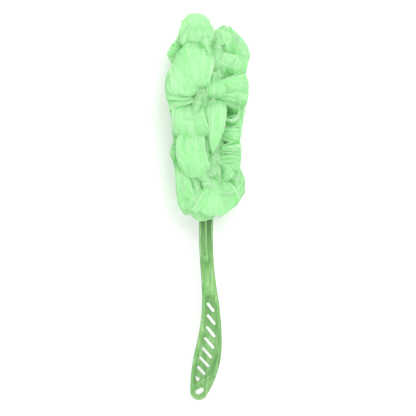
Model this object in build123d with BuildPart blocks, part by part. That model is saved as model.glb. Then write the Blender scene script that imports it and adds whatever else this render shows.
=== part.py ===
"""Long-handled mesh back scrubber: one moulded handle with a stem, and six gathered lengths of netting tied to it.

Millimetres. +Y runs from the hanging hole to the end of the mesh head and +Z is up. The scrubber lies on its back:
the underside of the soft head is pressed flat on the surface at Z = 0, and the handle stands clear of it.
"""

import os
from math import atan2, cos, hypot, radians, sin

from build123d import *

# Overall size, and the height of the handle's mid-plane, which is also the head's axis.
total_length = 400.0
axis_height = 38.0
tip_y = -total_length / 2
head_top_y = total_length / 2
head_bottom_y = -16.0

# Moulded handle, as the edges of its outline and its thickness.
handle_thickness = 6.0
edge_round = 1.7
neck_half_width = 7.1
neck_end_y = -30.0
widest_right = (16.4, -141.0)
widest_left_x = -16.2
slimmest_left = (-4.15, -97.0)
tip_radius = 9.0
right_bend_share = 0.55
left_bend_share = 0.5

# Stem inside the head, with a stop at its end.
stem_top_y = 168.0
stop_half_width = 9.5
stop_length = 5.0
stop_round = 2.0
stop_overlap = 2.0

# Channels on both sides of the neck's middle rib. Their floors rise to the face where the grip begins.
channel_rim = 2.0
rib_half_width = 1.0
channel_start_y = 4.0
channel_end_y = -84.0
channel_depth = 1.9
rib_line = [(0.0, channel_start_y + 1), (0.0, neck_end_y), (1.5, -60.0), (3.6, channel_end_y - 1)]

# Recessed field round the drain slots, the diagonal brace below it, and the recess round the hanging hole.
field_inset = 3.6
field_depth = 1.1
field_top_y = -92.0
brace_point = (-2.4, -179.6)
brace_angle = 32.0
brace_half_width = 1.1
eye_inset = 2.4
eye_depth = 0.8

# Drain slots: centre x, centre y and length. They turn a little from first to last.
slot_width = 2.8
slots = [
    (4.7, -104.1, 11.5),
    (5.4, -116.9, 13.1),
    (4.9, -129.4, 14.0),
    (3.4, -141.1, 15.0),
    (1.1, -151.2, 14.9),
    (-1.7, -160.6, 14.0),
    (-4.8, -169.5, 11.7),
]
first_slot_angle = -53.0
last_slot_angle = -47.0
corner_window = [(-11.4, -174.4), (-5.8, -178.0), (-9.2, -181.2)]
corner_window_round = 0.6
hanging_hole_centre = (-6.5, -190.7)
hanging_hole_length = 8.8
hanging_hole_width = 4.8
hole_collar = 1.3

# Tie stations, where each length of netting is gathered against the stem and tied.
station_count = 6
first_station_y = 28.0
station_pitch = 27.0
stations = [first_station_y + i * station_pitch for i in range(station_count)]
notch_depth = 1.6
notch_radius = 2.4

# Netting, as soft solids of its outer shape.
head_radius = 42.0
shoulder_slope = 3.0
top_slope = 14.0
bottom_slope = 11.0
waist_radius = 11.6
waist_half_length = 3.0
valley_half_length = 4.5
ruffle_gap = 0.4
stem_clearance = 0.3

# Tie cords, each a ring round the gathered netting with a knot and two cut tails.
cord_radius = 1.0
cord_clearance = 0.3
ring_radius = waist_radius + cord_clearance + cord_radius
knot_radius = 2.1
knot_distance = ring_radius + 1.3
tail_radius = 0.8
tail_length = 10.0
tail_spread = 25.0
first_knot_angle = 47.0
knot_step = 98.0

handle_top_z = axis_height + handle_thickness / 2
mid_plane = Plane.XY.offset(axis_height)
head_axis = Axis((0, 0, axis_height), (0, 1, 0))
os.makedirs("parts", exist_ok=True)


def write(piece, name):
    """Labels a finished piece and writes it as the node of that name."""
    piece.part.label = name
    export_step(piece.part, f"parts/{name}.step")


def draw_bend(start, end, share):
    """Draws two arcs that leave start and arrive at end along Y, and meet at a share of the way."""
    middle = (start[0] + share * (end[0] - start[0]), start[1] + share * (end[1] - start[1]))
    heading = 1 if end[1] > start[1] else -1
    TangentArc(start, middle, tangent=(0, heading))
    TangentArc(end, middle, tangent=(0, -heading))


def draw_outline():
    """Draws the outline of the grip, neck and stem in the open BuildLine."""
    neck_right, neck_left = (neck_half_width, neck_end_y), (-neck_half_width, neck_end_y)
    tip_centre = (widest_left_x + tip_radius, tip_y + tip_radius)
    reach, drop = widest_right[0] - tip_centre[0], widest_right[1] - tip_centre[1]
    belly_radius = (reach**2 + drop**2 - tip_radius**2) / (2 * (reach - tip_radius))
    turn = atan2(drop, belly_radius - reach)
    tip_start = (tip_centre[0] + tip_radius * cos(turn), tip_centre[1] - tip_radius * sin(turn))
    draw_bend(neck_right, widest_right, right_bend_share)
    TangentArc(widest_right, tip_start, tangent=(0, -1))
    TangentArc((widest_left_x, tip_centre[1]), tip_start, tangent=(0, -1))
    draw_bend((widest_left_x, tip_centre[1]), slimmest_left, left_bend_share)
    draw_bend(slimmest_left, neck_left, left_bend_share)
    Polyline(neck_left, (-neck_half_width, stem_top_y), (neck_half_width, stem_top_y), neck_right)


def face_recess(inset, depth, *cuts):
    """A cutter as deep as depth below the handle's face, inset from the outline and trimmed by vertical planes.

    Each cut is a point and a direction in the plane of the face. The side the direction points to is kept.
    """
    with BuildPart() as recess:
        with BuildSketch(Plane.XY.offset(handle_top_z - depth)):
            with BuildLine():
                draw_outline()
            make_face()
            offset(amount=-inset)
        extrude(amount=2 * depth)
        for point, direction in cuts:
            split(bisect_by=Plane(origin=(*point, 0), z_dir=(*direction, 0)), keep=Keep.TOP)
    return recess.part


def brace_side(side):
    """The edge of the diagonal brace and the direction away from it: side +1 is towards the neck, -1 the tip."""
    away = (-side * sin(radians(brace_angle)), side * cos(radians(brace_angle)))
    return (brace_point[0] + brace_half_width * away[0], brace_point[1] + brace_half_width * away[1]), away


def slot_angle(index):
    """The direction of a drain slot, in degrees from +X."""
    share = index / (len(slots) - 1)
    return first_slot_angle + share * (last_slot_angle - first_slot_angle)


# Cutter for the neck's two channels, on both sides of the rib, with a sloping floor.
channel_slope = channel_depth / (channel_start_y - channel_end_y)
sloping_floor = Plane(
    origin=(0, channel_end_y, handle_top_z),
    x_dir=(1, 0, 0),
    z_dir=(0, channel_slope, 1),
)
with BuildPart() as channel_cutter:
    add(
        face_recess(
            channel_rim,
            channel_depth,
            ((0, channel_start_y), (0, -1)),
            ((0, channel_end_y), (0, 1)),
        )
    )
    with BuildSketch(Plane.XY.offset(handle_top_z - 2 * channel_depth)):
        with BuildLine() as rib_middle:
            Spline(rib_line)
        trace(rib_middle.line, line_width=2 * rib_half_width)
    extrude(amount=4 * channel_depth, mode=Mode.SUBTRACT)
    split(bisect_by=sloping_floor, keep=Keep.TOP)

# Cutter for the recess round the hanging hole. It leaves a collar round the hole.
with BuildPart() as eye_cutter:
    add(face_recess(eye_inset, eye_depth, brace_side(-1)))
    with BuildSketch(Plane.XY.offset(handle_top_z - 2 * eye_depth)):
        with Locations(Location((*hanging_hole_centre, 0), (0, 0, brace_angle))):
            SlotOverall(hanging_hole_length + 2 * hole_collar, hanging_hole_width + 2 * hole_collar)
    extrude(amount=4 * eye_depth, mode=Mode.SUBTRACT)

# The upper half of the handle is shaped, then mirrored. The openings go through both halves.
with BuildPart() as handle:
    with BuildSketch(mid_plane):
        with BuildLine():
            draw_outline()
        make_face()
    extrude(amount=handle_thickness / 2)
    fillet(handle.faces().sort_by(Axis.Z)[-1].edges(), radius=edge_round)
    with BuildSketch(mid_plane):
        with Locations((0, stem_top_y + (stop_length - stop_overlap) / 2)):
            RectangleRounded(2 * stop_half_width, stop_length + stop_overlap, stop_round)
    extrude(amount=handle_thickness / 2)
    notch_x = neck_half_width - notch_depth + notch_radius
    with BuildSketch(mid_plane):
        with Locations([(side * notch_x, y) for y in stations for side in (-1, 1)]):
            Circle(notch_radius)
    extrude(amount=handle_thickness, mode=Mode.SUBTRACT)
    add(channel_cutter.part, mode=Mode.SUBTRACT)
    add(
        face_recess(field_inset, field_depth, ((0, field_top_y), (0, -1)), brace_side(1)),
        mode=Mode.SUBTRACT,
    )
    add(eye_cutter.part, mode=Mode.SUBTRACT)
    mirror(about=mid_plane)
    with BuildSketch(mid_plane):
        for index, (x, y, length) in enumerate(slots):
            with Locations(Location((x, y, 0), (0, 0, slot_angle(index)))):
                SlotOverall(length, slot_width)
        with BuildSketch(mode=Mode.PRIVATE) as window:
            Polygon(*corner_window, align=None)
            fillet(window.vertices(), corner_window_round)
        add(window.sketch)
        with Locations(Location((*hanging_hole_centre, 0), (0, 0, brace_angle))):
            SlotOverall(hanging_hole_length, hanging_hole_width)
    extrude(amount=handle_thickness, both=True, mode=Mode.SUBTRACT)
write(handle, "handle")


def ruffle(bottom_y, waist_y, top_y, slopes, bore, bore_top_y):
    """One gathered length of netting: two sloping shoulders with a waist between them, bored for the stem."""
    with BuildPart() as netting:
        with BuildSketch(Plane(origin=(0, 0, axis_height), x_dir=(0, 0, 1), z_dir=(-1, 0, 0))) as profile:
            with BuildLine():
                Polyline(
                    (bore, bottom_y),
                    (head_radius, bottom_y),
                    (head_radius, waist_y - valley_half_length),
                    (waist_radius, waist_y - waist_half_length),
                    (waist_radius, waist_y + waist_half_length),
                    (head_radius, waist_y + valley_half_length),
                    (head_radius, top_y),
                    *([(0, top_y), (0, bore_top_y)] if bore_top_y < top_y else []),
                    (bore, bore_top_y),
                    close=True,
                )
            make_face()
            rim = profile.vertices().group_by(Axis.X)[-1].sort_by(Axis.Y)
            for corner, slope in zip(rim, slopes):
                chamfer(corner, slope)
        revolve(axis=head_axis)
        split(bisect_by=Plane.XY, keep=Keep.TOP)
    return netting


for index, station in enumerate(stations):
    first, last = index == 0, index == station_count - 1
    low = head_bottom_y if first else station - station_pitch / 2 + ruffle_gap / 2
    high = head_top_y if last else station + station_pitch / 2 - ruffle_gap / 2
    slopes = [
        bottom_slope if first else shoulder_slope,
        shoulder_slope,
        shoulder_slope,
        top_slope if last else shoulder_slope,
    ]
    stem_bore = hypot(neck_half_width, handle_thickness / 2) + stem_clearance
    stop_bore = hypot(stop_half_width, handle_thickness / 2) + stem_clearance
    netting_piece = ruffle(
        low,
        station,
        high,
        slopes,
        stop_bore if last else stem_bore,
        stem_top_y + stop_length + stem_clearance if last else high,
    )
    write(netting_piece, f"net_ruffle_{index + 1}")

for index, station in enumerate(stations):
    knot_angle = first_knot_angle + index * knot_step
    with BuildPart() as tie_cord:
        with Locations(Location((0, station, axis_height), (90, 0, 0))):
            Torus(ring_radius, cord_radius)
        knot_x = knot_distance * cos(radians(knot_angle))
        knot_z = axis_height + knot_distance * sin(radians(knot_angle))
        with Locations((knot_x, station, knot_z)):
            Sphere(knot_radius)
        for side in (-1, 1):
            tail_angle = knot_angle + side * tail_spread
            with Locations(Location((knot_x, station, knot_z), (0, 90 - tail_angle, 0))):
                Cylinder(tail_radius, tail_length, align=(Align.CENTER, Align.CENTER, Align.MIN))
    write(tie_cord, f"tie_cord_{index + 1}")
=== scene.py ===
"""Mesh back scrubber: a translucent green handle and a long head of gathered tube netting.

Lengths are in metres, except in the tables of lobes, which are in mm. The stem's axis, the tie
stations and the head's size are read from the frame. A lobe is a loop of flattened tube netting: it
leaves the tie, swells to its full width, turns over at its tip and comes back.
"""

import math

import bpy
import numpy as np
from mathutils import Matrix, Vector


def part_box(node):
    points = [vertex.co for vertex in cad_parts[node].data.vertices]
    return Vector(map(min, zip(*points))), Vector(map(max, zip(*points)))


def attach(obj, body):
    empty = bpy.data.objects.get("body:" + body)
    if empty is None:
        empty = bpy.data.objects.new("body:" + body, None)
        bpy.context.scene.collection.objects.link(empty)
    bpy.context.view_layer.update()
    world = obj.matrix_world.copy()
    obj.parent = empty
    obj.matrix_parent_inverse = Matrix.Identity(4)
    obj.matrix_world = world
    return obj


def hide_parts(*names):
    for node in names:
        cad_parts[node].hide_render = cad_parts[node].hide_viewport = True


MM = 0.001
SETTLE_FRAMES = 10
SPARE = 0.05  # how much longer the netting is, each way, than the loops it is laid out in

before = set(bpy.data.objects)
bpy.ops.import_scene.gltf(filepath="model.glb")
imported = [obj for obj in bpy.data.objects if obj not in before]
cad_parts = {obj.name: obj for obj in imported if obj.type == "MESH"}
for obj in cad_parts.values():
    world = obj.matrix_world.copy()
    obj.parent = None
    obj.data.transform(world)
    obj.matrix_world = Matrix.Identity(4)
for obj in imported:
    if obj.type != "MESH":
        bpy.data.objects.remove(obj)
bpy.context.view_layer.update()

# --------------------------------------------------------------------------------------------------
# What the frame says
# --------------------------------------------------------------------------------------------------
RUFFLES = sorted(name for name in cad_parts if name.startswith("net_ruffle_"))
CORDS = sorted(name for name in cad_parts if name.startswith("tie_cord_"))


def middle(name):
    """The middle of a node's box."""
    low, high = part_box(name)
    return [(a + b) / 2 for a, b in zip(low, high)]


AXIS_Z = middle("handle")[2]
STATIONS = [0.5 * (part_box(name)[0][1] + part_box(name)[1][1]) for name in CORDS]
HEAD_RADIUS = (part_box(RUFFLES[0])[1][0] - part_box(RUFFLES[0])[0][0]) / 2
HEAD_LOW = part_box(RUFFLES[0])[0][1]
HEAD_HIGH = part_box(RUFFLES[-1])[1][1]
ROOT_RADIUS = 8.5 * MM

# --------------------------------------------------------------------------------------------------
# Lobes that show from the front, by the length of netting they belong to, in mm and degrees.
# A row holds
#   the tip: to the right, along the stem, and height above the stem's axis,
#   the direction of the width in the plane of the floor, and its tilt out of that plane,
#   width, bulk (how far the loop's two runs stand apart) and arch (how far the loop rises above a
#   straight line),
#   how round the tip is, how far the two runs close at the sides, taper towards the tip (below 0 the
#   root is narrow, so that the lobe is a fan), and pleat depth,
#   and, where the root is not at the tie, how far it is moved: right, along the stem, towards the
#   viewer.
# --------------------------------------------------------------------------------------------------
FRONT_LOBES = {
    "net_ruffle_6": [
        ((-12, 198, 8), (10, 0), 44, 14, 6, 0.14, 0.2, 0.36, 0.8),
        ((-7, 188, 21), (-14, 4), 40, 10, 14, 0.16, 0.1, 0.30, 0.9, (-2, -2)),
        ((-42, 160, 12), (80, 20), 20, 8, 12, 0.12, 0.2, 0.05, 0.8),
        ((8, 176, 12), (-20, 10), 26, 12, 8, 0.20, 0.3, 0.20, 1.0),
        ((22, 174, 24), (-50, 16), 30, 10, 10, 0.24, 0.1, 0.10, 1.0, (4, -2)),
    ],
    "net_ruffle_5": [
        ((33, 173, 14), (-42, 8), 46, 13, 14, 0.36, 0.2, 0.05, 0.9, (4, 4)),
        ((42, 148, 8), (78, 10), 36, 13, 12, 0.25, 0.3, 0.10, 0.9),
        ((22, 156, 29), (0, 20), 38, 10, 10, 0.14, 0.1, 0.05, 0.9, (5, 2)),
        ((-13, 164, 30), (12, 0), 42, 8, 12, 0.28, 0.1, 0.0, 0.9, (-2, -16, 22)),
        ((-31, 147, 31), (42, -14), 38, 8, 10, 0.28, 0.1, 0.0, 0.9, (-2, -18, 24)),
        ((-25, 134, 36), (52, -8), 26, 6, 8, 0.30, 0.1, 0.0, 1.0, (-3, -19, 26)),
        ((4, 150, 31), (10, 20), 26, 9, 6, 0.20, 0.2, 0.10, 1.0, (3, 0)),
        ((-36, 138, 26), (60, 30), 34, 9, 12, 0.20, 0.1, 0.10, 1.0, (0, 2)),
        ((-43, 128, 12), (80, 14), 42, 13, 14, 0.26, 0.2, 0.10, 0.9),
        ((-36, 104, 22), (-48, 24), 30, 10, 16, 0.20, 0.2, 0.10, 1.2, (-2, -2)),
        ((-30, 118, 30), (-66, 30), 30, 8, 10, 0.20, 0.2, 0.10, 1.0),
        ((-10, 114, 32), (-30, 20), 24, 10, 6, 0.20, 0.2, 0.10, 1.0, (-2, -4)),
    ],
    "net_ruffle_4": [
        ((44, 123, 14), (86, 30), 36, 8, 10, 0.16, 0.0, 0.02, 0.6, (0, 10, 29)),
        ((43, 106, 16), (80, 34), 28, 8, 10, 0.18, 0.0, 0.05, 0.8, (2, 2, 27)),
        ((-43, 124, 14), (68, -24), 34, 8, 10, 0.18, 0.0, 0.05, 0.8, (-2, 6, 28)),
        ((-42, 104, 14), (76, -24), 28, 8, 10, 0.18, 0.0, 0.05, 0.8, (-2, 2, 27)),
        ((32, 80, 24), (24, 70), 26, 22, 8, 0.12, 0.0, 0.05, 0.8),
        ((-38, 94, 20), (66, 24), 28, 10, 14, 0.20, 0.2, 0.10, 1.2),
        ((7, 55, 38), (-6, 10), 23, 5, 20, 0.02, 0.0, 0.85, 0.6, (8, 6)),
        ((10, 131, 31), (30, 10), 22, 7, 6, 0.25, 0.1, 0.0, 0.9, (5, 1, 20)),
        ((-16, 70, 33), (-8, 8), 40, 9, 18, 0.14, 0.1, 0.02, 1.1, (-3, 0)),
        ((1, 80, 36), (10, 30), 18, 7, 12, 0.10, 0.1, 0.30, 1.2, (1, 2)),
        ((38, 94, 20), (84, 24), 26, 10, 12, 0.22, 0.2, 0.10, 1.0),
        ((-26, 96, 30), (-52, 30), 26, 8, 10, 0.20, 0.2, 0.10, 1.2),
    ],
    "net_ruffle_3": [
        ((-13, 30, 35), (2, 6), 35, 6, 20, 0.16, 0.1, 0.12, 1.2, (-3, 2)),
        ((-37, 88, 20), (76, 24), 26, 10, 14, 0.20, 0.2, 0.10, 1.0),
        ((-36, 70, 20), (82, 14), 26, 10, 14, 0.22, 0.2, 0.10, 1.0),
        ((38, 71, 18), (78, 28), 24, 8, 8, 0.14, 0.0, 0.05, 1.0, (6, -8, 24)),
        ((4, 62, 31), (0, 20), 28, 9, 4, 0.20, 0.2, 0.10, 1.0, (3, 0)),
        ((36, 84, 24), (74, 40), 24, 9, 12, 0.18, 0.1, 0.10, 1.2, (2, 2)),
        ((30, 64, 28), (70, 50), 22, 8, 8, 0.16, 0.1, 0.10, 1.2),
    ],
    "net_ruffle_2": [
        ((38, 57, 18), (84, 28), 22, 8, 8, 0.14, 0.0, 0.05, 1.0, (6, 2, 24)),
        ((37, 44, 18), (80, 30), 20, 8, 8, 0.14, 0.0, 0.05, 1.0, (6, -8, 24)),
        ((-39, 58, 18), (64, 20), 20, 8, 12, 0.08, 0.1, 0.45, 0.8),
        ((29, 50, 30), (74, 40), 18, 7, 8, 0.16, 0.1, 0.10, 1.0, (3, -2)),
        ((-21, -6, 17), (0, 6), 32, 13, 22, 0.14, 0.1, 0.0, 1.1),
        ((-33, 28, 14), (84, 10), 34, 12, 14, 0.20, 0.2, 0.10, 1.0),
        ((4, 38, 30), (-10, 20), 24, 9, 6, 0.20, 0.2, 0.10, 1.2),
    ],
    "net_ruffle_1": [
        ((12, -7, 27), (-8, 4), 50, 8, 12, 0.16, 0.0, -0.10, 1.2, (0, 8)),
        ((-4, -15, 14), (4, 4), 30, 14, 12, 0.18, 0.2, 0.05, 1.0),
        ((41, 16, 16), (62, 14), 34, 12, 14, 0.22, 0.1, 0.02, 1.0),
        ((35, 33, 22), (70, 30), 26, 9, 12, 0.16, 0.1, 0.05, 1.2),
        ((26, 40, 30), (52, 40), 24, 8, 8, 0.14, 0.0, 0.15, 1.0, (2, 2)),
        ((30, -1, 18), (30, 10), 34, 11, 14, 0.22, 0.1, 0.02, 1.2),
    ],
}
# The head's outline from above, in mm: place along the stem, then how far it spreads to the left
# and to the right.
OUTLINE = [
    (-16, 14, 8),
    (-8, 24, 20),
    (2, 30, 33),
    (15, 31.5, 42),
    (29, 32, 41),
    (41, 33, 36.5),
    (55, 39, 38),
    (68, 35, 36),
    (93, 37.5, 41),
    (113, 42, 45.5),
    (125, 44, 45.5),
    (136, 42, 42),
    (145, 36, 44),
    (157, 42, 47),
    (166, 36, 45),
    (175, 30, 38),
    (186, 28, 26),
    (200, 25, 8),
]
# Directions round the stem in degrees: 0 is towards the viewer and 90 to the right.
BACK_DIRECTIONS = [98, 128, 158, 186, 214, 244, 272]
FILLING_DIRECTIONS = [-72, -48, -28, -10, 10, 28, 48, 72]
TIE_DIRECTIONS = [-26, 0, 26]
# Points along a lobe and round its tube.
FRONT_POINTS, BACK_POINTS, INNER_POINTS = (60, 72), (44, 40), (30, 26)
FIRST_SEED = 40


def wave(rng, count, low, high):
    """A smooth random function of one variable from 0 to 1, about -1 to 1."""
    terms = [
        (rng.uniform(low, high), rng.uniform(0, 2 * math.pi), rng.uniform(0.4, 1.0)) for _ in range(count)
    ]
    total = sum(term[2] for term in terms)
    return lambda x: (
        sum(size * np.sin(2 * math.pi * turns * x + phase) for turns, phase, size in terms) / total
    )


def creases(rng, t, side, width, length):
    """The height of narrow creases, most along the lobe and a few across it, and a mark on the ridges for a
    painted highlight.
    """
    height, ridge = 0.0, 0.0
    for _ in range(round(width / (3.6 * MM))):
        line = rng.uniform(-0.9, 0.9) * (0.55 + 0.45 * np.sin(math.pi * t))
        line = line + rng.uniform(-0.5, 0.5) * (t - 0.5)
        middle_t, span, size = rng.uniform(0.1, 0.9), rng.uniform(0.14, 0.36), rng.uniform(0.9, 1.7) * MM
        window = np.exp(-(((t - middle_t) / span) ** 2))
        shape = window * np.exp(-(((side - line) * width / 2 / size) ** 2))
        up = rng.choice([-1, 1, 1])
        height = height + up * rng.uniform(0.8, 2.0) * MM * shape
        ridge = np.maximum(ridge, max(up, 0) * rng.uniform(0.5, 1.0) * shape)
    for _ in range(round(width / (9 * MM))):
        line = rng.uniform(0.15, 0.85) + rng.uniform(-0.08, 0.08) * side
        middle_side, span = rng.uniform(-0.6, 0.6), rng.uniform(0.4, 0.9)
        size = rng.uniform(1.2, 2.2) * MM
        window = np.exp(-(((side - middle_side) / span) ** 2))
        shape = window * np.exp(-(((t - line) * 2 * length / size) ** 2))
        up = rng.choice([-1, 1])
        height = height + up * rng.uniform(0.6, 1.5) * MM * shape
        ridge = np.maximum(ridge, max(up, 0) * rng.uniform(0.4, 0.8) * shape)
    return height, ridge


class Netting:
    """Points, faces, flat coordinates, fold marks and hold in the simulation of one length of netting."""

    def __init__(self):
        self.points, self.faces, self.flat, self.rim, self.hold = [], [], [], [], []
        self.count = 0

    def lobe(self, station, row, rng, steps, rounds):
        """Adds one lobe, with steps points along it and rounds points round its tube."""
        tip, (heading, tilt), width, bulk, arch, roundness, closed, taper, pleat = row[:9]
        shift = np.array([*row[9], 0.0, 0.0, 0.0][:3] if len(row) > 9 else [0.0, 0.0, 0.0]) * MM
        width, bulk, arch, pleat = (x * MM for x in (width, bulk, arch, pleat))
        tip = np.array([tip[0] * MM, tip[1] * MM, AXIS_Z + tip[2] * MM])
        radial = np.array([tip[0], 0.0, tip[2] - AXIS_Z])
        radial /= np.linalg.norm(radial)
        root = np.array([0.0, station, AXIS_Z]) + shift + ROOT_RADIUS * radial
        outward = tip - root
        length = np.linalg.norm(outward)
        outward /= length
        heading, tilt = math.radians(heading), math.radians(tilt)
        across = np.array(
            [math.cos(heading) * math.cos(tilt), math.sin(heading) * math.cos(tilt), math.sin(tilt)]
        )
        across -= outward * np.dot(across, outward)
        across /= np.linalg.norm(across)
        facing = np.cross(across, outward)
        if np.dot(facing, radial) < 0:
            facing, across = -facing, -across

        t = np.linspace(0.02, 0.98, steps)[:, None]
        phi = np.linspace(0, 2 * math.pi, rounds, endpoint=False)[None, :]
        swell = np.sin(math.pi * t)
        side = np.sign(np.cos(phi)) * np.abs(np.cos(phi)) ** 0.85
        reach = (1 - np.cos(2 * math.pi * t)) / 2
        out = length * reach * (1 - roundness * np.abs(side) ** 2.4)
        apart = bulk / 2 * np.sin(2 * math.pi * t) * swell**0.5 * (1 - closed * side**2)
        widening = 0.28 + 0.72 * swell**0.6 if taper >= 0 else 0.12 + 0.88 * swell**1.7
        spread = width / 2 * widening * (1 - max(taper, 0) * swell**5) * side
        rise = arch * 2.6 * np.sqrt(reach) * (1 - reach)
        folds = rng.uniform(2.2, 4.4)
        fan = folds * math.pi * side + 1.2 * wave(rng, 2, 0.3, 0.8)(t) + rng.uniform(0, 6)
        pleats = pleat * (1.2 - swell**3 * 0.75) * np.arcsin(0.97 * np.sin(fan)) * 0.75
        pleats = pleats + pleat * 0.6 * wave(rng, 3, 0.6, 2.4)(side / 2 + 0.6 * t)
        height, ridge = creases(rng, t, side, width, length)
        pleats = pleats + height * swell**0.3
        thick = (0.75 + 0.45 * wave(rng, 2, 0.5, 1.5)(t + side / 4)) * MM
        sway = (0.10 * bulk + 0.035 * width) * wave(rng, 2, 0.4, 0.9)(side / 2 + t)
        edge_wave = 0.05 * width * wave(rng, 2, 1.0, 2.4)(t) * swell
        # The tube's two layers lie on both sides of the ribbon, which turns over at the tip.
        lift = pleats + sway + thick * np.sin(phi)
        shape = (
            root
            + outward * (out + lift * swell * 0.7)[..., None]
            + facing * (apart + lift * np.cos(math.pi * t))[..., None]
            + radial * rise[..., None]
            + across * (spread + edge_wave)[..., None]
        )
        flat_v = np.cumsum(np.r_[0, np.linalg.norm(np.diff(shape[:, rounds // 4], axis=0), axis=1)])
        start = self.count
        rows, cols = shape.shape[:2]
        for i in range(rows - 1):
            for j in range(cols):
                k = (j + 1) % cols
                here, ahead = start + i * cols, start + (i + 1) * cols
                self.faces.append((here + j, ahead + j, ahead + k, here + k))
                left, right = j / cols * 2 * width, (j + 1) / cols * 2 * width
                low, high = flat_v[i], flat_v[i + 1]
                self.flat += [(left, low), (left, high), (right, high), (right, low)]
        self.points.append(shape.reshape(-1, 3))
        # The netting is double, and so denser, along its fold edges and at the tip; there and on the ridges
        # it also gets a painted highlight.
        rim = np.clip((np.abs(np.cos(phi)) - 0.91) / 0.06, 0, 1) * np.ones_like(t)
        rim = np.maximum(rim, 0.5 * np.clip((swell - 0.990) / 0.008, 0, 1))
        rim = np.maximum(rim, ridge)
        self.rim.append(rim.reshape(-1))
        # In the simulation the root is held, and the fold edges nearly so.
        tied = np.clip(1.25 - 3.2 * swell, 0, 1) * np.ones_like(phi)
        turned = 0.8 * np.clip((np.abs(np.cos(phi)) - 0.86) / 0.1, 0, 1) * np.ones_like(t)
        self.hold.append(np.maximum(tied, turned).reshape(-1))
        self.count += rows * cols

    def build(self, name):
        """One mesh object of all the lobes."""
        points = settle_in_head(np.vstack(self.points))
        mesh = bpy.data.meshes.new(name)
        mesh.from_pydata(points.tolist(), [], self.faces)
        layer = mesh.uv_layers.new(name="flat")
        layer.data.foreach_set("uv", np.array(self.flat, dtype=np.float32).reshape(-1))
        mark = mesh.attributes.new("rim", "FLOAT", "POINT")
        mark.data.foreach_set("value", np.concatenate(self.rim).astype(np.float32))
        mesh.polygons.foreach_set("use_smooth", [True] * len(mesh.polygons))
        obj = bpy.data.objects.new(name, mesh)
        bpy.context.scene.collection.objects.link(obj)
        group = obj.vertex_groups.new(name="tied")
        for index, value in enumerate(np.concatenate(self.hold)):
            if value > 0:
                group.add([index], float(value), "REPLACE")
        return obj


def soft_limit(x, limit, give):
    """x where it is well below limit; above it, x comes close to limit without passing it."""
    start = limit - give
    over = np.maximum(x - start, 0)
    return np.where(x > start, start + give * (1 - np.exp(-over / give)), x)


def settle_in_head(points):
    """Keeps the netting inside the head's outline and off the floor."""
    points = points.copy()
    x, y, z = points[:, 0], points[:, 1], points[:, 2] - AXIS_Z
    y_rows, left, right = (np.array(column) * MM for column in zip(*OUTLINE))
    room = np.where(x < 0, np.interp(y, y_rows, left), np.interp(y, y_rows, right))
    points[:, 0] = np.sign(x) * soft_limit(np.abs(x), room + 0.5 * MM, 4 * MM)
    z = soft_limit(z, HEAD_RADIUS, 6 * MM)
    points[:, 2] = np.maximum(AXIS_Z - soft_limit(-z, AXIS_Z - 0.4 * MM, 2 * MM), 0.4 * MM)
    points[:, 1] = np.where(
        y > 0, soft_limit(y, HEAD_HIGH + 0.8 * MM, 3 * MM), -soft_limit(-y, -HEAD_LOW + 0.8 * MM, 3 * MM)
    )
    return points


def place(direction, reach, y):
    """The tip of a lobe that points in that direction round the stem."""
    angle = math.radians(direction)
    return (reach * math.sin(angle), y, reach * math.cos(angle))


def back_rows(rng, index):
    """Lobes for the sides and the back, alternately towards the two ends."""
    rows = []
    station = STATIONS[index] / MM
    for turn, direction in enumerate(BACK_DIRECTIONS):
        shift = (13 if (turn + index) % 2 else -14) + rng.uniform(-4, 4)
        if index == 0 and shift < 0:
            shift -= 19
        if index == len(STATIONS) - 1 and shift > 0:
            shift += 5
        rows.append(
            (
                place(direction + rng.uniform(-7, 7), 39 + rng.uniform(-4, 3), station + shift),
                (rng.uniform(0, 180), rng.uniform(-60, 60)),
                32 + rng.uniform(-6, 8),
                14 + rng.uniform(-4, 8),
                rng.uniform(2, 10),
                rng.uniform(0.12, 0.3),
                rng.uniform(0.0, 0.3),
                rng.uniform(0.0, 0.3),
                1.1,
            )
        )
    return rows


def filling_rows(rng, index):
    """Lobes just under the front ones, so that no gap shows the stem."""
    station = STATIONS[index] / MM
    return [
        (
            place(
                direction + rng.uniform(-8, 8),
                31 + rng.uniform(-2, 2),
                station + (13 if turn % 2 else -13),
            ),
            (rng.uniform(40, 140), rng.uniform(-30, 30)),
            31 + rng.uniform(-4, 5),
            10 + rng.uniform(-2, 3),
            rng.uniform(2, 5),
            rng.uniform(0.15, 0.28),
            0.2,
            rng.uniform(0.0, 0.2),
            1.2,
        )
        for turn, direction in enumerate(FILLING_DIRECTIONS)
    ] + [
        (
            place(direction, 32, station + rng.uniform(-3, 3)),
            (90 + rng.uniform(-20, 20), rng.uniform(-20, 20)),
            34,
            9,
            2,
            0.2,
            0.3,
            0.0,
            1.0,
        )
        for direction in TIE_DIRECTIONS
    ]


def inner_rows(rng, index):
    """Shorter lobes that fill the head all round the stem."""
    station = STATIONS[index] / MM
    return [
        (
            place(26 * k + rng.uniform(-14, 14), 27 + rng.uniform(-4, 4), station + rng.uniform(-15, 15)),
            (rng.uniform(0, 180), rng.uniform(-60, 60)),
            25 + rng.uniform(-4, 5),
            13 + rng.uniform(-3, 3),
            rng.uniform(0, 5),
            0.2,
            0.3,
            0.1,
            1.2,
        )
        for k in range(14)
    ]


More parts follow.
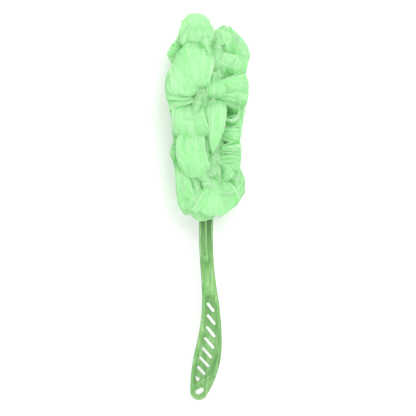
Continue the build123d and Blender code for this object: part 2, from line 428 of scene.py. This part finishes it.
# --------------------------------------------------------------------------------------------------
# Materials
# --------------------------------------------------------------------------------------------------
class Nodes:
    """Short way to add and join a material's nodes."""

    def __init__(self, name):
        self.material = bpy.data.materials.new(name)
        self.material.use_nodes = True
        self.tree = self.material.node_tree
        self.tree.nodes.clear()

    def add(self, kind, inputs=(), **settings):
        """A new node. An input is a constant or another node's output."""
        node = self.tree.nodes.new(kind)
        for key, value in settings.items():
            setattr(node, key, value)
        for key, value in dict(inputs).items():
            if isinstance(value, bpy.types.NodeSocket):
                self.tree.links.new(value, node.inputs[key])
            else:
                node.inputs[key].default_value = value
        return node

    def math(self, operation, a, b=0.0, c=0.0, clamp=False):
        """The output of a Math node."""
        node = self.add("ShaderNodeMath", {0: a, 1: b, 2: c}, operation=operation, use_clamp=clamp)
        return node.outputs[0]

    def ramp(self, value, stops):
        """The output of a colour ramp with these positions and colours."""
        node = self.add("ShaderNodeValToRGB", {0: value})
        elements = node.color_ramp.elements
        while len(elements) < len(stops):
            elements.new(0.5)
        for element, (position, colour) in zip(elements, stops):
            element.position, element.color = position, (*colour, 1)
        return node.outputs[0]

    def finish(self, shader):
        """Joins the shader to the material's output."""
        self.add("ShaderNodeOutputMaterial", {"Surface": shader})
        return self.material


def netting_material():
    """Pale green mesh: a diamond pattern with clear openings, denser where the netting folds, with a painted
    highlight on the folds.
    """
    n = Nodes("netting")
    flat = n.add("ShaderNodeUVMap", uv_map="flat").outputs[0]
    split = n.add("ShaderNodeSeparateXYZ", {0: flat})
    wobble = n.add("ShaderNodeTexNoise", {"Vector": flat, "Scale": 260.0, "Detail": 3.0}).outputs[0]
    u = n.math("MULTIPLY_ADD", wobble, 0.0012, split.outputs[0])
    v = n.math("MULTIPLY_ADD", wobble, -0.0010, split.outputs[1])
    cell = 1.35 * MM
    threads = []
    for sign in (1.0, -1.0):
        sloped = n.math("MULTIPLY_ADD", v, sign * 0.62, u)
        phase = n.math("MULTIPLY", sloped, math.pi / cell)
        threads.append(n.math("ABSOLUTE", n.math("SINE", phase)))
    nearest = n.math("MINIMUM", threads[0], threads[1])
    opening = n.math("MULTIPLY", n.math("SUBTRACT", nearest, 0.30), 3.0, clamp=True)
    thread = n.math("SUBTRACT", 1.0, opening)
    # Folds too small to model run along the netting; the mesh is denser along their crests, which also get a
    # painted highlight.
    long_way = n.add("ShaderNodeMapping", {"Vector": flat, "Scale": (1.0, 0.17, 1.0)}).outputs[0]
    swing = n.add(
        "ShaderNodeTexNoise",
        {"Vector": long_way, "Scale": 210.0, "Detail": 2.5, "Roughness": 0.5, "Distortion": 0.9},
    ).outputs[0]
    from_crest = n.math("ABSOLUTE", n.math("SUBTRACT", swing, 0.5))
    crest = n.math("SUBTRACT", 1.0, n.math("MULTIPLY", from_crest, 9.0, clamp=True))
    crest = n.math("POWER", crest, 1.6)
    rim = n.add("ShaderNodeAttribute", attribute_name="rim").outputs["Fac"]
    rim = n.math("MAXIMUM", n.math("MULTIPLY", rim, 0.9), n.math("MULTIPLY", crest, 0.65))
    cover = n.math("MAXIMUM", n.math("MULTIPLY_ADD", thread, 0.16, 0.54), rim, clamp=True)
    cloud = n.add("ShaderNodeTexNoise", {"Vector": flat, "Scale": 26.0, "Detail": 3.0}).outputs[0]
    tint = n.ramp(cloud, [(0.30, (0.49, 0.93, 0.47)), (0.70, (0.60, 0.955, 0.58))])
    # Painted highlight: the fold edges, the tips, the ridges and the crests are lightened towards a
    # near-white green.
    bright = n.add(
        "ShaderNodeMix",
        {0: n.math("MULTIPLY", rim, 0.8), 6: tint, 7: (0.90, 0.995, 0.89, 1)},
        data_type="RGBA",
    ).outputs[2]
    folded = n.add("ShaderNodeBump", {"Strength": 0.55, "Distance": 1.6 * MM, "Height": swing}).outputs[0]
    bump = n.add(
        "ShaderNodeBump", {"Strength": 0.10, "Distance": 0.4 * MM, "Height": thread, "Normal": folded}
    ).outputs[0]
    diffuse = n.add("ShaderNodeBsdfDiffuse", {"Color": bright, "Normal": bump}).outputs[0]
    through = n.add("ShaderNodeBsdfTranslucent", {"Color": bright, "Normal": bump}).outputs[0]
    body = n.add("ShaderNodeMixShader", {0: 0.55, 1: diffuse, 2: through}).outputs[0]
    gloss = n.add(
        "ShaderNodeBsdfGlossy", {"Color": (0.9, 1.0, 0.9, 1), "Roughness": 0.42, "Normal": bump}
    ).outputs[0]
    body = n.add("ShaderNodeMixShader", {0: 0.035, 1: body, 2: gloss}).outputs[0]
    clear = n.add("ShaderNodeBsdfTransparent").outputs[0]
    return n.finish(n.add("ShaderNodeMixShader", {0: cover, 1: clear, 2: body}).outputs[0])


def plastic_material():
    """Green translucent plastic with flow streaks; painted shade makes it darker towards the head, in the
    channels and on its sides, and a painted highlight lightens the rib, the brace and the border.
    """
    n = Nodes("handle_plastic")
    place = n.add("ShaderNodeTexCoord").outputs["Object"]
    stretch = n.add("ShaderNodeMapping", {"Vector": place, "Scale": (1.0, 0.22, 1.0)}).outputs[0]
    streak = n.add(
        "ShaderNodeTexNoise",
        {"Vector": stretch, "Scale": 150.0, "Detail": 5.0, "Roughness": 0.62, "Distortion": 0.8},
    ).outputs[0]
    # Painted shade: the handle is darker towards the head, for the head's shadow and the thicker neck.
    along = n.add("ShaderNodeSeparateXYZ", {0: place}).outputs[1]
    head_shade = n.math("MULTIPLY_ADD", along, 5.0, 0.35, clamp=True)
    pale = n.ramp(
        streak, [(0.34, (0.13, 0.37, 0.10)), (0.50, (0.21, 0.48, 0.15)), (0.66, (0.36, 0.64, 0.28))]
    )
    shaded_colour = n.ramp(
        streak,
        [(0.30, (0.075, 0.215, 0.050)), (0.50, (0.100, 0.26, 0.067)), (0.70, (0.13, 0.31, 0.090))],
    )
    colour = n.add("ShaderNodeMix", {0: head_shade, 6: pale, 7: shaded_colour}, data_type="RGBA").outputs[2]
    # Painted shade and highlight: by their height, the channels and the sunken fields are darkened and the
    # rib, the brace and the border lightened, most in the neck.
    upward = n.add("ShaderNodeSeparateXYZ", {0: place}).outputs[2]
    height = n.math("ABSOLUTE", n.math("SUBTRACT", upward, AXIS_Z))
    level = n.math("DIVIDE", n.math("SUBTRACT", height, 1.0 * MM), 2.0 * MM, clamp=True)
    relief_shade = n.math("MULTIPLY_ADD", n.math("POWER", level, 2.0), 0.75, -0.38)
    in_neck = n.math("MULTIPLY_ADD", along, 14.0, 1.25, clamp=True)
    relief_shade = n.math("MULTIPLY", relief_shade, n.math("MULTIPLY_ADD", in_neck, 0.78, 0.22))
    # Painted shade: faces that turn away from up or down, the sides and the rounded edges, are darker.
    normal = n.add("ShaderNodeNewGeometry").outputs["Normal"]
    upright = n.math("ABSOLUTE", n.add("ShaderNodeSeparateXYZ", {0: normal}).outputs[2])
    side_shade = n.math("MULTIPLY", n.math("SUBTRACT", 1.0, upright), -0.30)
    value = n.math("ADD", n.math("ADD", relief_shade, side_shade), 1.0)
    colour = n.add("ShaderNodeHueSaturation", {"Value": value, "Color": colour}).outputs[0]
    fine = n.add("ShaderNodeTexNoise", {"Vector": place, "Scale": 420.0, "Detail": 3.0}).outputs[0]
    bump = n.add("ShaderNodeBump", {"Strength": 0.12, "Distance": 0.3 * MM, "Height": fine}).outputs[0]
    principled = n.add(
        "ShaderNodeBsdfPrincipled",
        {
            "Base Color": colour,
            "Roughness": n.math("MULTIPLY_ADD", streak, 0.25, 0.12),
            "Normal": bump,
            "IOR": 1.49,
            "Subsurface Weight": 0.25,
            "Subsurface Radius": (0.004, 0.008, 0.003),
            "Coat Weight": 0.3,
            "Coat Roughness": 0.12,
        },
    ).outputs[0]
    glow = n.add("ShaderNodeBsdfTranslucent", {"Color": colour}).outputs[0]
    return n.finish(n.add("ShaderNodeMixShader", {0: 0.22, 1: principled, 2: glow}).outputs[0])


def cord_material():
    """Twisted pale cord, with painted shade in the grooves between its strands."""
    n = Nodes("tie_cord")
    flat = n.add("ShaderNodeUVMap", uv_map="flat").outputs[0]
    split = n.add("ShaderNodeSeparateXYZ", {0: flat})
    turns = 2600.0
    slant = n.math("MULTIPLY_ADD", split.outputs[1], turns, n.math("MULTIPLY", split.outputs[0], turns))
    twist = n.math("SINE", slant)
    strand_shading = n.math("MULTIPLY_ADD", twist, 0.5, 0.5)
    # Painted shade: the colour is darker where the twist's bump is low, in the grooves between the strands.
    tint = n.ramp(strand_shading, [(0.0, (0.42, 0.62, 0.40)), (0.7, (0.80, 0.90, 0.78))])
    bump = n.add("ShaderNodeBump", {"Strength": 0.6, "Distance": 0.2 * MM, "Height": twist}).outputs[0]
    return n.finish(
        n.add("ShaderNodeBsdfPrincipled", {"Base Color": tint, "Roughness": 0.45, "Normal": bump}).outputs[0]
    )


def floor_material():
    """Plain pale floor."""
    n = Nodes("floor")
    place = n.add("ShaderNodeTexCoord").outputs["Object"]
    cloud = n.add("ShaderNodeTexNoise", {"Vector": place, "Scale": 3.0, "Detail": 1.0}).outputs[0]
    tint = n.ramp(cloud, [(0.0, (0.955, 0.955, 0.955)), (1.0, (0.975, 0.975, 0.975))])
    return n.finish(n.add("ShaderNodeBsdfDiffuse", {"Color": tint}).outputs[0])


# --------------------------------------------------------------------------------------------------
# Netting
# --------------------------------------------------------------------------------------------------
netting = netting_material()
lengths = []
for index, node in enumerate(RUFFLES):
    rng = np.random.default_rng(FIRST_SEED + index)
    cloth = Netting()
    for row in FRONT_LOBES[node]:
        cloth.lobe(STATIONS[index], row, rng, *FRONT_POINTS)
    for row in filling_rows(rng, index) + back_rows(rng, index):
        cloth.lobe(STATIONS[index], row, rng, *BACK_POINTS)
    for row in inner_rows(rng, index):
        cloth.lobe(STATIONS[index], row, rng, *INNER_POINTS)
    obj = cloth.build(f"netting_{index + 1}")
    obj.data.materials.append(netting)
    lengths.append(obj)


def crumple(objects):
    """Short cloth simulation: netting with some length to spare buckles into soft folds."""
    for obj in objects:
        cloth = obj.modifiers.new("cloth", "CLOTH")
        cloth.settings.quality = 4
        cloth.settings.mass = 0.05
        cloth.settings.tension_stiffness = 8
        cloth.settings.compression_stiffness = 8
        cloth.settings.shear_stiffness = 2
        cloth.settings.bending_stiffness = 0.02
        cloth.settings.tension_damping = 8
        cloth.settings.compression_damping = 8
        cloth.settings.shear_damping = 8
        cloth.settings.air_damping = 3
        cloth.settings.effector_weights.gravity = 0
        cloth.settings.vertex_group_mass = "tied"
        cloth.settings.pin_stiffness = 2
        cloth.settings.shrink_min = -SPARE
        cloth.settings.shrink_max = -SPARE
        cloth.collision_settings.use_collision = False
        cloth.collision_settings.use_self_collision = False
        cloth.point_cache.frame_start = 1
        cloth.point_cache.frame_end = SETTLE_FRAMES
    scene = bpy.context.scene
    for step in range(1, SETTLE_FRAMES + 1):
        scene.frame_set(step)
    graph = bpy.context.evaluated_depsgraph_get()
    for obj in objects:
        done = obj.evaluated_get(graph).data
        settled = np.empty(len(done.vertices) * 3)
        done.vertices.foreach_get("co", settled)
        obj.modifiers.clear()
        settled = settle_in_head(settled.reshape(-1, 3))
        obj.data.vertices.foreach_set("co", settled.reshape(-1))
        obj.data.update()
    scene.frame_set(1)


cut_areas = [sum(face.area for face in obj.data.polygons) * (1 + SPARE) ** 2 for obj in lengths]
crumple(lengths)

for obj, node, area in zip(lengths, RUFFLES, cut_areas):
    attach(obj, "root")
    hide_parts(node)

# --------------------------------------------------------------------------------------------------
# Tie cords
# --------------------------------------------------------------------------------------------------
CORD_RADIUS = 0.8 * MM
CORD_SIDES = 10
RING_RADIUS = 12.6 * MM


def tube(name, path, radius):
    """A cord along the path, with flat coordinates for its twist."""
    path = np.array(path)
    heading = np.gradient(path, axis=0)
    heading /= np.linalg.norm(heading, axis=1)[:, None]
    side = np.cross(heading[0], [0.3, 0.5, 0.8])
    points, faces, flat = [], [], []
    run = np.cumsum(np.r_[0, np.linalg.norm(np.diff(path, axis=0), axis=1)])
    for i, (place, ahead) in enumerate(zip(path, heading)):
        side = side - ahead * np.dot(side, ahead)
        side /= np.linalg.norm(side)
        other = np.cross(ahead, side)
        for j in range(CORD_SIDES):
            a = 2 * math.pi * j / CORD_SIDES
            points.append(place + radius * (math.cos(a) * side + math.sin(a) * other))
        if i:
            low = (i - 1) * CORD_SIDES
            for j in range(CORD_SIDES):
                k = (j + 1) % CORD_SIDES
                faces.append((low + j, low + k, low + CORD_SIDES + k, low + CORD_SIDES + j))
                u = [2 * math.pi * radius * x / CORD_SIDES for x in (j, j + 1)]
                flat += [(u[0], run[i - 1]), (u[1], run[i - 1]), (u[1], run[i]), (u[0], run[i])]
    for first, order in ((0, -1), (len(points) - CORD_SIDES, 1)):
        faces.append(tuple(first + j for j in range(CORD_SIDES))[::order])
        flat += [(0.0, 0.0)] * CORD_SIDES
    mesh = bpy.data.meshes.new(name)
    mesh.from_pydata([tuple(p) for p in points], [], faces)
    mesh.uv_layers.new(name="flat").data.foreach_set("uv", np.array(flat, dtype=np.float32).reshape(-1))
    mesh.polygons.foreach_set("use_smooth", [True] * len(mesh.polygons))
    obj = bpy.data.objects.new(name, mesh)
    bpy.context.scene.collection.objects.link(obj)
    return obj


def cord_path(station, knot_angle):
    """Two turns round the netting, an overhand knot and two short tails."""
    turns = np.linspace(0.0, 2.0, 97)
    ring = [
        (
            RING_RADIUS * math.cos(knot_angle + 2 * math.pi * a),
            station + (a - 1.0) * 2.1 * CORD_RADIUS,
            AXIS_Z + RING_RADIUS * math.sin(knot_angle + 2 * math.pi * a),
        )
        for a in turns
    ]
    out = np.array([math.cos(knot_angle), 0, math.sin(knot_angle)])
    round_ring = np.array([-math.sin(knot_angle), 0, math.cos(knot_angle)])
    along = np.array([0.0, 1.0, 0.0])
    centre = np.array([0, station, AXIS_Z]) + out * (RING_RADIUS + 1.9 * MM)
    knot = []
    for a in np.linspace(0.35, 2 * math.pi - 0.35, 40):
        knot.append(
            centre
            + 1.5 * MM * (math.sin(a) + 1.2 * math.sin(2 * a)) * round_ring
            + 1.3 * MM * math.sin(3 * a) * along
            + 0.9 * MM * (math.cos(a) - 1.2 * math.cos(2 * a)) * out
        )
    tail = [knot[-1] + s * (0.7 * out - 0.6 * round_ring + 0.25 * along) * MM for s in range(1, 11)]
    first = [ring[0] + s * (0.7 * out + 0.6 * round_ring - 0.25 * along) * MM for s in range(10, 0, -1)]
    return [np.array(p) for p in first] + [np.array(p) for p in ring] + knot + tail


cord = cord_material()
for index, node in enumerate(CORDS):
    low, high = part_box(node)
    knot_angle = math.atan2((low[2] + high[2]) / 2 - AXIS_Z, (low[0] + high[0]) / 2)
    obj = tube(f"tie_loop_{index + 1}", cord_path(STATIONS[index], knot_angle), CORD_RADIUS)
    obj.data.materials.append(cord)
    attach(obj, "root")
    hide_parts(node)

# --------------------------------------------------------------------------------------------------
# Handle
# --------------------------------------------------------------------------------------------------
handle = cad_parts["handle"]
handle.data.materials.clear()
handle.data.materials.append(plastic_material())

# --------------------------------------------------------------------------------------------------
# Floor, light and camera
# --------------------------------------------------------------------------------------------------
bpy.ops.mesh.primitive_plane_add(size=8.0, location=(0, 0, 0))
floor = bpy.context.object
floor.name = "floor"
floor.data.materials.append(floor_material())


def softbox(name, place, size, power, target=(0, 0.04, 0.03)):
    """A rectangular light that faces the target."""
    light = bpy.data.lights.new(name, "AREA")
    light.shape, light.size, light.size_y, light.energy = "RECTANGLE", size[0], size[1], power
    obj = bpy.data.objects.new(name, light)
    obj.location = place
    aim = np.array(target) - np.array(place)
    obj.rotation_euler = Vector(aim).to_track_quat("-Z", "Y").to_euler()
    bpy.context.scene.collection.objects.link(obj)


softbox("key", (0.35, 0.55, 1.35), (0.7, 0.7), 10.0)
softbox("fill", (-0.9, -0.3, 1.2), (1.2, 1.2), 4.0)

world = bpy.data.worlds.new("studio")
world.use_nodes = True
background = world.node_tree.nodes["Background"]
background.inputs[0].default_value = (1, 1, 1, 1)
background.inputs[1].default_value = 0.98
bpy.context.scene.world = world
bpy.context.scene.view_settings.view_transform = "Standard"
bpy.context.scene.cycles.transparent_max_bounces = 48
bpy.context.scene.cycles.diffuse_bounces = 10

camera = bpy.data.cameras.new("camera")
camera.sensor_width = 36
distance, field = 2.6, 0.430
camera.lens = camera.sensor_width * distance / field
camera.clip_end = 20
camera_object = bpy.data.objects.new("camera", camera)
camera_object.location = (0.0021, -0.0016, AXIS_Z + distance)
bpy.context.scene.collection.objects.link(camera_object)
bpy.context.scene.camera = camera_object
